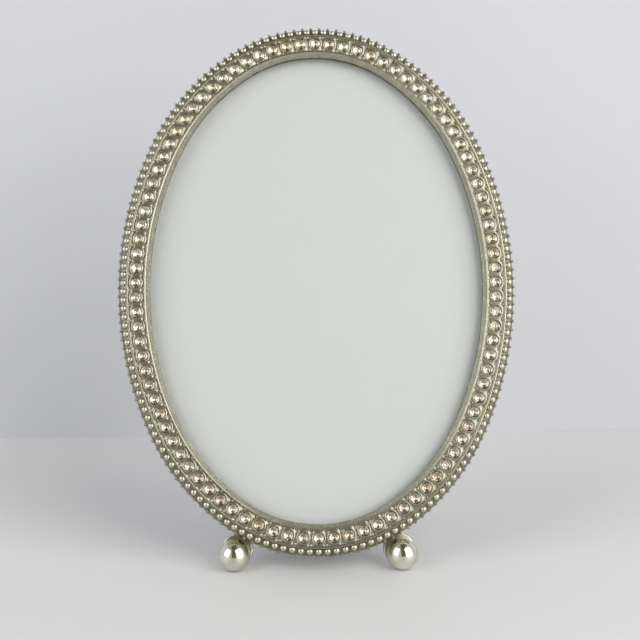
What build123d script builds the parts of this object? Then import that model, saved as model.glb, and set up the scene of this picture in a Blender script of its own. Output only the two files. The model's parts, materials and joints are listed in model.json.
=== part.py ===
from build123d import *
import os
from math import acos, cos, degrees, pi, radians, sin, tan

os.makedirs("parts", exist_ok=True)

# Oval table frame, jewelled and beaded, leaning back on two ball feet and an easel leg.
# Millimetres, Z up, front towards -Y. The origin is on the table, in the middle of the footprint.

# Photograph, glass and backing
photo_width = 127.0
photo_height = 178.0
sight_overlap = 3.5
glass_thickness = 2.0
photo_thickness = 0.3
board_thickness = 3.1
velvet_thickness = 0.5
rebate_clearance = 0.3

# Eight arcs that follow an ellipse: where the side, corner and end arcs meet
side_arc_end = 25.0
corner_arc_end = 56.0

# Casting, measured outwards from the sight edge and back from the front
glass_seat_depth = 3.4
lip_wall = 1.5
lip_bevel_width = 1.3
rail_side = 0.1
inner_rail_width = 0.5
inner_rail_drop = 0.15
channel_width = 5.7
channel_depth = 0.9
outer_rail_width = 0.6
shoulder_drop = 0.4
shoulder_width = 2.2
shoulder_tilt = 25.0
edge_width = 1.7
edge_tilt = 60.0
back_chamfer = 0.7

# Flat-backed crystals in the channel
crystal_count = 92
crystal_diameter = 4.7
crystal_facets = 5
crystal_height = 0.75
crystal_angle = 40.0

# Two rows of beads, one on the shoulder and one on the sloping edge outside it, and the share
# of a space that the second row lies further along
bead_count = 168
bead_diameter = 2.3
bead_facets = 5
bead_height = 0.95
side_row_share = 0.5

# Stance
lean = 17.0
leg_opening = 32.0

# Ball feet
ball_diameter = 11.0
ball_spacing = 58.8
ball_reach = 17.9
ball_flat = 0.15
lug_diameter = 11.0
lug_inset = 2.2
lug_thickness = 3.2
lug_neck_width = 8.0

# Easel hinge
hinge_height = 22.0
hinge_width = 22.0
hinge_leaf_thickness = 0.7
hinge_leaf_length = 17.0
hinge_corner = 2.0
middle_knuckle = 8.0
knuckle_gap = 0.2
pin_diameter = 1.6
pin_overhang = 0.4
pin_clearance = 0.05
stop_clearance = 0.03
leg_leaf_width = 13.0
leg_leaf_length = 18.0
fold_gap = 0.3

# Easel leg
leg_board_thickness = 2.0
leg_velvet_thickness = 0.35
leg_top_width = 17.0
leg_bottom_width = 31.0
leg_corner = 6.0
leg_corner_cut = 1.5
leg_top_gap = 0.4

# Rivets, and the number of sides that rivets, screws and their holes are drawn with
fastener_facets = 8
rivet_diameter = 1.8
rivet_head_diameter = 3.4
rivet_head_height = 0.5
rivet_clearance = 0.02
base_rivet_spread = 14.0
base_rivet_rise = 10.0
leg_rivet_near = 6.5
leg_rivet_far = 13.5

# Turn buttons and their screws
button_angle = 48.0
button_thickness = 0.8
button_hub_diameter = 4.8
button_tip_diameter = 3.2
button_overlap = 2.2
button_clearance = 0.05
screw_diameter = 2.0
screw_length = 4.5
screw_head_diameter = 4.0
screw_head_height = 1.0
screw_clearance = 0.05

overrun = 1.0

# Sizes that follow from those above
sight_width = photo_width - 2 * sight_overlap
sight_height = photo_height - 2 * sight_overlap
rebate_offset = sight_overlap + rebate_clearance
inner_rail_end = lip_bevel_width + inner_rail_width + rail_side
channel_end = inner_rail_end + channel_width
crystal_offset = (inner_rail_end + channel_end) / 2
outer_rail_end = channel_end + outer_rail_width + 2 * rail_side
shoulder_end = outer_rail_end + shoulder_width * cos(radians(shoulder_tilt))
shoulder_end_depth = shoulder_drop + shoulder_width * sin(radians(shoulder_tilt))
wall_offset = shoulder_end + edge_width * cos(radians(edge_tilt))
edge_end_depth = shoulder_end_depth + edge_width * sin(radians(edge_tilt))
glass_back = glass_seat_depth + glass_thickness
photo_back = glass_back + photo_thickness
board_back = photo_back + board_thickness
ring_depth = board_back + velvet_thickness
leg_thickness = leg_board_thickness + 2 * leg_velvet_thickness
knuckle_radius = (leg_thickness + hinge_leaf_thickness) / 2
hinge_lift = knuckle_radius + fold_gap
leaf_inside = knuckle_radius - hinge_leaf_thickness
ball_radius = ball_diameter / 2
ball_depth = ring_depth / 2
leg_slope = leg_opening - lean


def oval_arcs():
    # Each arc is its centre, its radius and the angles at which it starts and ends.
    half_width = sight_width / 2
    half_height = sight_height / 2
    first = radians(side_arc_end)
    second = radians(corner_arc_end)
    middle = (first + second) / 2
    spread = (half_width * cos(middle)) ** 2 + (half_height * sin(middle)) ** 2
    corner_radius = (half_width * half_height) ** 2 / spread**1.5
    across = half_width - corner_radius * (cos(first) - cos(second))
    along = half_height - corner_radius * (sin(second) - sin(first))
    scale = (1 - cos(first)) * (1 - sin(second)) - cos(second) * sin(first)
    side_radius = (across * (1 - sin(second)) - cos(second) * along) / scale
    end_radius = ((1 - cos(first)) * along - across * sin(first)) / scale
    side_x = half_width - side_radius
    end_y = half_height - end_radius
    corner_x = (end_radius - corner_radius) * cos(second)
    corner_y = end_y + (end_radius - corner_radius) * sin(second)
    low, high = side_arc_end, corner_arc_end
    return [
        (side_x, 0, side_radius, -low, low),
        (corner_x, corner_y, corner_radius, low, high),
        (0, end_y, end_radius, high, 180 - high),
        (-corner_x, corner_y, corner_radius, 180 - high, 180 - low),
        (-side_x, 0, side_radius, 180 - low, 180 + low),
        (-corner_x, -corner_y, corner_radius, 180 + low, 180 + high),
        (0, -end_y, end_radius, 180 + high, 360 - high),
        (corner_x, -corner_y, corner_radius, 360 - high, 360 - low),
    ]


arcs = oval_arcs()
end_arc_y = arcs[2][1]
end_arc_radius = arcs[2][2]

# Where the ball feet lie on the oval, and how high the frame's middle stands over the table
foot_swing = acos(ball_spacing / 2 / (end_arc_radius + ball_reach))
foot_drop = end_arc_y + (end_arc_radius + ball_reach) * sin(foot_swing)
tilt = radians(lean)
slope = radians(leg_slope)
opening = radians(leg_opening)
ball_height = ball_radius - ball_flat
centre_height = foot_drop * cos(tilt) + ball_depth * sin(tilt) + ball_height
hinge_depth = ring_depth + hinge_lift
pivot_height = centre_height + hinge_height * cos(tilt) - hinge_depth * sin(tilt)
ball_forward = -foot_drop * sin(tilt) + ball_depth * cos(tilt)
pivot_forward = hinge_height * sin(tilt) + hinge_depth * cos(tilt)
footprint_front = ball_forward - ball_radius
footprint_back = pivot_forward + pivot_height * tan(slope) + leaf_inside / cos(slope)
centre_forward = -(footprint_front + footprint_back) / 2

front = Plane(
    origin=(0, centre_forward, centre_height),
    x_dir=(1, 0, 0),
    z_dir=(0, -cos(tilt), sin(tilt)),
)
pivot = front.from_local_coords((0, hinge_height, -hinge_depth))
leg_plane = Plane(origin=pivot, x_dir=(1, 0, 0), z_dir=(0, -cos(slope), -sin(slope)))
hinge_axis_plane = Plane(origin=pivot, x_dir=front.y_dir, z_dir=(1, 0, 0))


def outward(angle):
    # The direction square to the oval, in the plane of the frame.
    return front.x_dir * cos(radians(angle)) + front.y_dir * sin(radians(angle))


def on_oval(arc, angle, offset, depth):
    # The point beside the sight edge at an angle of one arc, behind the front.
    x, y, radius, start, end = arc
    reach = radius + offset
    return front.from_local_coords(
        (x + reach * cos(radians(angle)), y + reach * sin(radians(angle)), -depth)
    )


def along_oval(offset, count, first_share):
    # Arcs and angles at equal lengths along the oval that lies this far out of the sight edge.
    lengths = [(r + offset) * radians(end - start) for x, y, r, start, end in arcs]
    pitch = sum(lengths) / count
    places = []
    for number in range(count):
        travel = (number + first_share) * pitch + lengths[0] / 2
        index = 0
        while travel >= lengths[index]:
            travel -= lengths[index]
            index = (index + 1) % len(arcs)
        angle = arcs[index][3] + degrees(travel / (arcs[index][2] + offset))
        places.append((arcs[index], angle))
    return places


def seat_planes(offset, depth, count, first_share, swing):
    # Planes at equal spaces round the oval, turned outwards from the front by an angle.
    planes = []
    for arc, angle in along_oval(offset, count, first_share):
        side = outward(angle)
        facing = front.z_dir * cos(radians(swing)) + side * sin(radians(swing))
        planes.append(
            Plane(on_oval(arc, angle, offset, depth), x_dir=front.z_dir.cross(side), z_dir=facing)
        )
    return planes


def draw_oval(offset):
    with BuildLine() as outline:
        for x, y, radius, start, end in arcs:
            CenterArc((x, y), radius + offset, start, end - start)
    make_face(outline.edges())


def sweep_round(section):
    # A section of offsets and depths, carried round the eight arcs.
    for arc in arcs:
        x, y, radius, start, end = arc
        centre = front.from_local_coords((x, y, 0))
        side = outward(start)
        with BuildSketch(Plane(centre, x_dir=side, z_dir=side.cross(front.z_dir))) as profile:
            with BuildLine():
                Polyline([(radius + offset, -depth) for offset, depth in section], close=True)
            make_face()
        revolve(profile.sketch, axis=Axis(centre, front.z_dir), revolution_arc=end - start)


def oval_plate(offset, depth, thickness):
    with BuildSketch(front.offset(-depth)) as outline:
        draw_oval(offset)
    extrude(outline.sketch, amount=-thickness)


def rivet_holes(plane, places, length):
    # Holes that go down from a plane, a little wider than the rivets.
    with BuildSketch(plane) as holes:
        with Locations(*places):
            RegularPolygon(rivet_diameter / 2 + rivet_clearance, fastener_facets)
    extrude(holes.sketch, amount=-length, mode=Mode.SUBTRACT)


def rivets(plane, places, length):
    # Rivets whose heads stand on a plane and whose shanks go down through it.
    with BuildSketch(plane) as heads:
        with Locations(*places):
            RegularPolygon(rivet_head_diameter / 2, fastener_facets)
    extrude(heads.sketch, amount=rivet_head_height)
    with BuildSketch(plane) as shanks:
        with Locations(*places):
            RegularPolygon(rivet_diameter / 2, fastener_facets)
    extrude(shanks.sketch, amount=-length)


def foot_point(side, reach, depth):
    # A point on the line square to the oval that carries a foot: side is -1 or 1.
    swing = pi / 2 - foot_swing
    far = end_arc_radius + reach
    return front.from_local_coords((side * far * sin(swing), -end_arc_y - far * cos(swing), -depth))


def button_place(number):
    # The arc and angle of one turn button, in the corners of the oval.
    arc = arcs[2 * number + 1]
    angle = (button_angle, 180 - button_angle, 180 + button_angle, 360 - button_angle)[number]
    return arc, angle


wall_middle = (rebate_offset + wall_offset - back_chamfer) / 2
button_planes = []
for number in range(4):
    arc, angle = button_place(number)
    inward = -outward(angle)
    button_planes.append(
        Plane(on_oval(arc, angle, wall_middle, ring_depth), x_dir=inward, z_dir=-front.z_dir)
    )
base_rivets_at = [
    (-base_rivet_spread / 2, base_rivet_rise),
    (base_rivet_spread / 2, base_rivet_rise),
]
leg_rivets_at = [(0, -leg_rivet_near), (0, -leg_rivet_far)]

# The plane of the frame's back, seen from behind, with its origin beside the hinge
back_plane = Plane(
    origin=front.from_local_coords((0, hinge_height, -ring_depth)),
    x_dir=(-1, 0, 0),
    z_dir=-front.z_dir,
)

# Crystal and bead, flat side down
with BuildPart() as crystal:
    with BuildSketch():
        RegularPolygon(crystal_diameter / 2, crystal_facets)
    extrude(amount=crystal_height, taper=crystal_angle)

with BuildPart() as bead:
    with BuildSketch() as bead_foot:
        RegularPolygon(bead_diameter / 2, bead_facets)
    loft([bead_foot.sketch.face(), Vertex(0, 0, bead_height)])

# Casting: lip, inner rail, crystal channel, outer rail, shoulder, sloping edge, wall, back and
# rebate, with a lug at the back for each ball foot
casting_section = [
    (0, glass_seat_depth),
    (0, glass_seat_depth - lip_wall),
    (lip_bevel_width, inner_rail_drop),
    (inner_rail_end - rail_side, inner_rail_drop),
    (inner_rail_end, channel_depth),
    (channel_end, channel_depth),
    (channel_end + rail_side, 0),
    (outer_rail_end - rail_side, 0),
    (outer_rail_end, shoulder_drop),
    (shoulder_end, shoulder_end_depth),
    (wall_offset, edge_end_depth),
    (wall_offset, ring_depth - back_chamfer),
    (wall_offset - back_chamfer, ring_depth),
    (rebate_offset, ring_depth),
    (rebate_offset, glass_seat_depth),
]
crystal_planes = seat_planes(crystal_offset, channel_depth, crystal_count, 0, 0)

with BuildPart() as cast_frame:
    sweep_round(casting_section)
    for side in (-1, 1):
        lug_centre = foot_point(side, ball_reach - lug_inset, ring_depth)
        wall_point = foot_point(side, wall_offset - back_chamfer - overrun, ring_depth)
        away = (lug_centre - wall_point).normalized()
        with BuildSketch(Plane(lug_centre, x_dir=away, z_dir=front.z_dir)):
            Circle(lug_diameter / 2)
            neck = (lug_centre - wall_point).length
            Rectangle(neck, lug_neck_width, align=(Align.MAX, Align.CENTER))
        extrude(amount=lug_thickness)
        with Locations(foot_point(side, ball_reach, ball_depth)):
            Sphere(ball_radius)
    split(bisect_by=Plane.XY, keep=Keep.TOP)
    for plane in button_planes:
        with BuildSketch(plane):
            RegularPolygon(screw_diameter / 2, fastener_facets)
        extrude(amount=-screw_length, mode=Mode.SUBTRACT)
cast_frame.part.label = "cast_frame"
export_step(cast_frame.part, "parts/cast_frame.step")

# Bead rows
shoulder_middle = (outer_rail_end + shoulder_end) / 2
shoulder_depth = (shoulder_drop + shoulder_end_depth) / 2
edge_middle = (shoulder_end + wall_offset) / 2
edge_depth = (shoulder_end_depth + edge_end_depth) / 2
front_row = seat_planes(shoulder_middle, shoulder_depth, bead_count, 0, shoulder_tilt)
side_row = seat_planes(edge_middle, edge_depth, bead_count, side_row_share, edge_tilt)
for name, planes in (("front_beads", front_row), ("side_beads", side_row)):
    with BuildPart() as beads:
        with Locations(*planes):
            add(bead.part)
    beads.part.label = name
    export_step(beads.part, f"parts/{name}.step")

# Crystals, side by side on the floor of the channel
with BuildPart() as crystals:
    with Locations(*crystal_planes):
        add(crystal.part)
crystals.part.label = "crystals"
export_step(crystals.part, "parts/crystals.step")

# Glass and photograph in the rebate, and the velvet-covered board that closes it
with BuildPart() as glass_pane:
    oval_plate(sight_overlap, glass_seat_depth, glass_thickness)
glass_pane.part.label = "glass_pane"
export_step(glass_pane.part, "parts/glass_pane.step")

with BuildPart() as photo_insert:
    oval_plate(sight_overlap, glass_back, photo_thickness)
photo_insert.part.label = "photo_insert"
export_step(photo_insert.part, "parts/photo_insert.step")

with BuildPart() as back_board:
    oval_plate(sight_overlap, photo_back, board_thickness)
    rivet_holes(back_plane, base_rivets_at, velvet_thickness + board_thickness)
back_board.part.label = "back_board"
export_step(back_board.part, "parts/back_board.step")

with BuildPart() as back_velvet:
    oval_plate(sight_overlap, board_back, velvet_thickness)
    rivet_holes(back_plane, base_rivets_at, velvet_thickness)
back_velvet.part.label = "back_velvet"
export_step(back_velvet.part, "parts/back_velvet.step")


def knuckle(start, length):
    # A rolled knuckle on the hinge axis, from one side to the other.
    with BuildSketch(hinge_axis_plane.offset(start)) as round_end:
        Circle(knuckle_radius)
    extrude(round_end.sketch, amount=length)


def pin_bore():
    with BuildSketch(hinge_axis_plane.offset(-hinge_width)) as bore:
        Circle(pin_diameter / 2 + pin_clearance)
    extrude(bore.sketch, amount=2 * hinge_width, mode=Mode.SUBTRACT)


outer_knuckle = (hinge_width - middle_knuckle) / 2 - knuckle_gap
knuckle_window = middle_knuckle + 2 * knuckle_gap
knuckle_clear = knuckle_radius + fold_gap
leg_top_drop = knuckle_radius + leg_top_gap

# Hinge base: a leaf riveted to the back board, with two knuckles
with BuildPart() as hinge_base:
    with BuildSketch(back_plane):
        Rectangle(hinge_width, hinge_leaf_length, align=(Align.CENTER, Align.MIN))
        fillet(vertices().group_by(Axis.Y)[-1], hinge_corner)
        Rectangle(
            knuckle_window, knuckle_clear, align=(Align.CENTER, Align.MIN), mode=Mode.SUBTRACT
        )
    extrude(amount=hinge_leaf_thickness)
    rivet_holes(back_plane.offset(hinge_leaf_thickness), base_rivets_at, hinge_leaf_thickness)
    knuckle(-hinge_width / 2, outer_knuckle)
    knuckle(hinge_width / 2 - outer_knuckle, outer_knuckle)
    pin_bore()
hinge_base.part.label = "hinge_base"
export_step(hinge_base.part, "parts/hinge_base.step")

# Leg leaf: its heel, above the pin, meets the base when the leg is open
leg_back_plane = leg_plane.offset(-leaf_inside)
heel_rise = leaf_inside * cos(opening) + hinge_lift - hinge_leaf_thickness - stop_clearance
heel = heel_rise / sin(opening)
rivet_plane = Plane(
    leg_plane.offset(-knuckle_radius).origin, x_dir=(-1, 0, 0), z_dir=-leg_plane.z_dir
)
with BuildPart() as hinge_leaf:
    with BuildSketch(leg_back_plane):
        with Locations((0, -knuckle_clear)):
            Rectangle(leg_leaf_width, leg_leaf_length, align=(Align.CENTER, Align.MAX))
        fillet(vertices().group_by(Axis.Y)[0], hinge_corner)
        with Locations((0, heel)):
            Rectangle(
                middle_knuckle, heel + knuckle_clear + overrun, align=(Align.CENTER, Align.MAX)
            )
    extrude(amount=-hinge_leaf_thickness)
    rivet_holes(rivet_plane, leg_rivets_at, hinge_leaf_thickness)
    knuckle(-middle_knuckle / 2, middle_knuckle)
    pin_bore()
hinge_leaf.part.label = "hinge_leaf"
export_step(hinge_leaf.part, "parts/hinge_leaf.step")

# Hinge pin, through both knuckles of the base and the one of the leg
pin_length = hinge_width + 2 * pin_overhang
with BuildPart() as hinge_pin:
    with BuildSketch(hinge_axis_plane.offset(-pin_length / 2)):
        Circle(pin_diameter / 2)
    extrude(amount=pin_length)
hinge_pin.part.label = "hinge_pin"
export_step(hinge_pin.part, "parts/hinge_pin.step")

# Easel leg: a board, wider towards its foot, in a velvet sleeve cut off level with the table
leg_length = pivot_height / cos(slope)


def leg_blank(plane, inset, rise, thickness, mode):
    # The leg's outline, drawn in from the edge of the sleeve, and its thickness.
    with BuildSketch(plane) as blank:
        with BuildLine():
            Polyline(
                (inset - leg_top_width / 2, rise - leg_top_drop),
                (leg_top_width / 2 - inset, rise - leg_top_drop),
                (leg_bottom_width / 2 - inset, inset - leg_length - leg_corner_cut),
                (inset - leg_bottom_width / 2, inset - leg_length - leg_corner_cut),
                close=True,
            )
        make_face()
        fillet(blank.vertices().group_by(Axis.Y)[0], leg_corner - inset)
    extrude(blank.sketch, amount=thickness, mode=mode)


board_plane = leg_back_plane.offset(leg_velvet_thickness)
sole = Plane.XY.offset(leg_velvet_thickness)
leg_hole_length = hinge_leaf_thickness + leg_thickness

with BuildPart() as easel_leg:
    leg_blank(board_plane, leg_velvet_thickness, 0, leg_board_thickness, Mode.ADD)
    split(bisect_by=sole, keep=Keep.TOP)
    rivet_holes(rivet_plane, leg_rivets_at, leg_hole_length)
easel_leg.part.label = "easel_leg"
export_step(easel_leg.part, "parts/easel_leg.step")

with BuildPart() as leg_hollow:
    leg_blank(board_plane, leg_velvet_thickness, overrun, leg_board_thickness, Mode.ADD)
    split(bisect_by=sole, keep=Keep.TOP)

with BuildPart() as leg_velvet:
    leg_blank(leg_back_plane, 0, 0, leg_thickness, Mode.ADD)
    split(bisect_by=Plane.XY, keep=Keep.TOP)
    add(leg_hollow.part, mode=Mode.SUBTRACT)
    rivet_holes(rivet_plane, leg_rivets_at, leg_hole_length)
leg_velvet.part.label = "leg_velvet"
export_step(leg_velvet.part, "parts/leg_velvet.step")

with BuildPart() as base_rivets:
    rivets(
        back_plane.offset(hinge_leaf_thickness),
        base_rivets_at,
        hinge_leaf_thickness + velvet_thickness + board_thickness,
    )
base_rivets.part.label = "base_rivets"
export_step(base_rivets.part, "parts/base_rivets.step")

with BuildPart() as leg_rivets:
    rivets(rivet_plane, leg_rivets_at, leg_hole_length)
leg_rivets.part.label = "leg_rivets"
export_step(leg_rivets.part, "parts/leg_rivets.step")

# Turn buttons, pointing inwards over the board, and the screws that they turn on
button_reach = wall_middle - sight_overlap + button_overlap - button_tip_diameter / 2
for number, plane in enumerate(button_planes):
    with BuildPart() as turn_button:
        with BuildSketch(plane.offset(button_clearance)):
            Circle(button_hub_diameter / 2)
            with Locations((button_reach, 0)):
                Circle(button_tip_diameter / 2)
            make_hull()
            RegularPolygon(
                screw_diameter / 2 + screw_clearance,
                fastener_facets,
                major_radius=False,
                mode=Mode.SUBTRACT,
            )
        extrude(amount=button_thickness)
    turn_button.part.label = f"turn_button_{number + 1}"
    export_step(turn_button.part, f"parts/turn_button_{number + 1}.step")

head_level = button_thickness + 2 * button_clearance
with BuildPart() as button_screws:
    for plane in button_planes:
        with BuildSketch(plane.offset(head_level)):
            RegularPolygon(screw_head_diameter / 2, fastener_facets)
        extrude(amount=screw_head_height)
        with BuildSketch(plane.offset(head_level)):
            RegularPolygon(screw_diameter / 2, fastener_facets)
        extrude(amount=-head_level - screw_length)
button_screws.part.label = "button_screws"
export_step(button_screws.part, "parts/button_screws.step")
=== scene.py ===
import bpy
import bmesh
import json
from math import acos, asin, cos, hypot, pi, radians, sin
from mathutils import Matrix, Vector


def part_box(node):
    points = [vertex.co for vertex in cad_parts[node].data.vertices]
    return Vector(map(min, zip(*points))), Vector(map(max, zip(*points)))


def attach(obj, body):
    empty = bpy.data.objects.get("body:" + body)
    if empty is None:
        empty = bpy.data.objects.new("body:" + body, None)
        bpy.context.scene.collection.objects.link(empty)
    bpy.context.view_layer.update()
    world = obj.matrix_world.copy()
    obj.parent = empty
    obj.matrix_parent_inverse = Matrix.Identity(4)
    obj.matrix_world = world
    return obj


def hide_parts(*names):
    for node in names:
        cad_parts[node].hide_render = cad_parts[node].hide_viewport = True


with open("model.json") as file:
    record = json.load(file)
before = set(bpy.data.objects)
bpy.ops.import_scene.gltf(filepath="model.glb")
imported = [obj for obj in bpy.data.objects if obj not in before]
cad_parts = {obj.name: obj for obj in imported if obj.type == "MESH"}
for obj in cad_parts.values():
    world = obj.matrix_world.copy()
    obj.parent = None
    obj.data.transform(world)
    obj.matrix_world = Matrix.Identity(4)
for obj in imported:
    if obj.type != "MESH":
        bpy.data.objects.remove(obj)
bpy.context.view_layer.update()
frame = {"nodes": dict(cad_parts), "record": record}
cadNodes = frame["nodes"]
record = frame["record"]
mounts = {mount["name"]: mount for mount in record["mounts"]}
joints = {joint["name"]: joint for joint in record["behaviour"]["joints"]}
mm = 0.001
print("frame loaded")

# The oval and the plane that it lies in, which leans back on the table
oval = {
    "sightWidth": 120.0,
    "sightHeight": 171.0,
    "sideArcEnd": 25.0,
    "cornerArcEnd": 56.0,
    "lean": 17.0,
    "glassSeatDepth": 3.4,
    "glassThickness": 2.0,
    "trackStep": 1.0,  # degrees of arc between two points of a track
}

# Millimetres and degrees that the mesh helpers share
shaping = {
    "weld": 0.0005,
    "sourceWeld": 0.002,
    "flatWithin": 0.5,
    "sharpFrom": 30,
    "smoothBelow": 35,
    "rimSmoothBelow": 38,
    "tipShare": 0.05,  # of a dome's radius, flat at its top
}


def placeFront():
    lean = radians(oval["lean"])
    normal = Vector((0, -cos(lean), sin(lean)))
    low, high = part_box("glass_pane")
    toFront = (oval["glassSeatDepth"] + oval["glassThickness"] / 2) * mm
    centre = (low + high) / 2 + normal * toFront
    upward = Vector((0, sin(lean), cos(lean)))
    sides = Matrix((Vector((1, 0, 0)), upward, normal)).transposed()
    return Matrix.Translation(centre) @ sides.to_4x4()


frontPlane = placeFront()
frontCentre = frontPlane.translation.copy()
frontNormal = frontPlane.to_3x3() @ Vector((0, 0, 1))
frontUp = frontPlane.to_3x3() @ Vector((0, 1, 0))


def ovalArcs():
    # Eight arcs: centre, radius, first and last angle, in millimetres and degrees
    halfWidth = oval["sightWidth"] / 2
    halfHeight = oval["sightHeight"] / 2
    first = radians(oval["sideArcEnd"])
    second = radians(oval["cornerArcEnd"])
    middle = (first + second) / 2
    spread = (halfWidth * cos(middle)) ** 2 + (halfHeight * sin(middle)) ** 2
    corner = (halfWidth * halfHeight) ** 2 / spread**1.5
    across = halfWidth - corner * (cos(first) - cos(second))
    along = halfHeight - corner * (sin(second) - sin(first))
    scale = (1 - cos(first)) * (1 - sin(second)) - cos(second) * sin(first)
    side = (across * (1 - sin(second)) - cos(second) * along) / scale
    end = ((1 - cos(first)) * along - across * sin(first)) / scale
    sideX = halfWidth - side
    endY = halfHeight - end
    cornerX = (end - corner) * cos(second)
    cornerY = endY + (end - corner) * sin(second)
    low, high = oval["sideArcEnd"], oval["cornerArcEnd"]
    return [
        (sideX, 0, side, -low, low),
        (cornerX, cornerY, corner, low, high),
        (0, endY, end, high, 180 - high),
        (-cornerX, cornerY, corner, 180 - high, 180 - low),
        (-sideX, 0, side, 180 - low, 180 + low),
        (-cornerX, -cornerY, corner, 180 + low, 180 + high),
        (0, -endY, end, 180 + high, 360 - high),
        (cornerX, -cornerY, corner, 360 - high, 360 - low),
    ]


arcs = ovalArcs()


def ovalTrack(offset):
    # Points round the oval, outside the sight edge by the offset, from its right-hand point
    spans = [(arcs[0], 0, arcs[0][4])]
    spans += [(arc, arc[3], arc[4]) for arc in arcs[1:]]
    spans += [(arcs[0], arcs[0][3], 0)]
    track = []
    for (x, y, radius, low, high), start, end in spans:
        steps = max(2, round((end - start) / oval["trackStep"]))
        for step in range(steps):
            angle = radians(start + (end - start) * step / steps)
            reach = radius + offset
            track.append((x + reach * cos(angle), y + reach * sin(angle)))
    return track


def trackLength(offset):
    return sum((radius + offset) * radians(high - low) for x, y, radius, low, high in arcs)


# Mesh helpers
def addObject(name, data):
    piece = bpy.data.objects.new(name, data)
    bpy.context.scene.collection.objects.link(piece)
    return piece


def plainMesh(name, points, faces, smooth=True):
    mesh = bpy.data.meshes.new(name)
    mesh.from_pydata([Vector(point) * mm for point in points], [], faces)
    for face in mesh.polygons:
        face.use_smooth = smooth
    return mesh


def openMesh(mesh):
    work = bmesh.new()
    work.from_mesh(mesh)
    return work


def closeMesh(work, mesh):
    work.to_mesh(mesh)
    work.free()
    return mesh


def meshFrom(name, points, faces, smooth=True):
    mesh = plainMesh(name, points, faces, smooth)
    work = openMesh(mesh)
    bmesh.ops.remove_doubles(work, verts=work.verts, dist=shaping["weld"] * mm)
    bmesh.ops.recalc_face_normals(work, faces=work.faces)
    return closeMesh(work, mesh)


def smoothBelow(work, angle):
    # Edges that turn less than the angle are shaded smooth
    for edge in work.edges:
        edge.smooth = edge.calc_face_angle(0) < radians(angle)


def roundEdges(work, edges, rounding, segments=3):
    bmesh.ops.bevel(
        work, geom=edges, offset=rounding * mm, segments=segments, profile=0.5,
        affect="EDGES", clamp_overlap=True,
    )


def raiseOutline(work, points, lift):
    # A block drawn through points and raised along Z; gives the edges of its top
    face = work.faces.new([work.verts.new(Vector(point) * mm) for point in points])
    grown = bmesh.ops.extrude_face_region(work, geom=[face])["geom"]
    raised = [item for item in grown if isinstance(item, bmesh.types.BMVert)]
    bmesh.ops.translate(work, verts=raised, vec=Vector((0, 0, lift)) * mm)
    return [edge for item in grown if isinstance(item, bmesh.types.BMFace) for edge in item.edges]


def markTarnishAndShade(mesh, shares):
    # Where tarnish gathers and shade is painted darker, from 0 to 1 at each point
    mesh.attributes.new("tarnishAndShade", "FLOAT", "POINT").data.foreach_set("value", shares)
    return mesh


# Tarnish and painted shade, darker towards the foot of the piece
def tarnishAndShadeBelow(mesh, height):
    return markTarnishAndShade(
        mesh, [max(0.0, min(1.0, 1 - vertex.co.z / (height * mm))) for vertex in mesh.vertices]
    )


def roundedLine(corners, steps=3):
    # Each corner is x, y and how far from it the rounding starts
    line = []
    count = len(corners)
    for index, (x, y, cut) in enumerate(corners):
        here = Vector((x, y))
        before = Vector(corners[index - 1][:2])
        after = Vector(corners[(index + 1) % count][:2])
        if not cut:
            line.append((x, y))
            continue
        start = here + (before - here).normalized() * cut
        end = here + (after - here).normalized() * cut
        for step in range(steps + 1):
            share = step / steps
            point = start * (1 - share) ** 2 + here * 2 * share * (1 - share) + end * share**2
            line.append((point.x, point.y))
    return line


def turned(name, outline, sides, stretch=1.0):
    # A lathe shape round its own Z axis, from points of radius and height
    points = []
    faces = []
    for radius, height in outline:
        for side in range(sides):
            angle = 2 * pi * side / sides
            points.append((radius * cos(angle), stretch * radius * sin(angle), height))
    for ring in range(len(outline) - 1):
        for side in range(sides):
            following = (side + 1) % sides
            low, high = ring * sides, (ring + 1) * sides
            faces.append((low + side, low + following, high + following, high + side))
    faces.append(tuple(range(sides - 1, -1, -1)))
    top = (len(outline) - 1) * sides
    faces.append(tuple(range(top, top + sides)))
    return meshFrom(name, points, faces)


def domeOutline(radius, height, foot, steps):
    outline = [(radius, -foot)]
    for step in range(steps):
        angle = pi / 2 * step / steps
        outline.append((radius * cos(angle), height * sin(angle)))
    outline.append((radius * shaping["tipShare"], height))
    return outline


def ovalPlate(name, offset, front, back, rounding):
    # A flat oval plate between two depths, with its edges rounded
    rings = [(offset - rounding, front), (offset, front + rounding)]
    rings += [(offset, back - rounding), (offset - rounding, back)]
    points = []
    for ringOffset, depth in rings:
        points += [(x, y, -depth) for x, y in ovalTrack(ringOffset)]
    count = len(points) // len(rings)
    last = (len(rings) - 1) * count
    faces = [tuple(range(count)), tuple(range(last + count - 1, last - 1, -1))]
    for ring in range(len(rings) - 1):
        for step in range(count):
            low, high = ring * count, (ring + 1) * count
            following = (step + 1) % count
            faces.append((low + step, high + step, high + following, low + following))
    mesh = meshFrom(name, points, faces, smooth=False)
    mesh.transform(frontPlane)
    return addObject(name, mesh)


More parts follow.
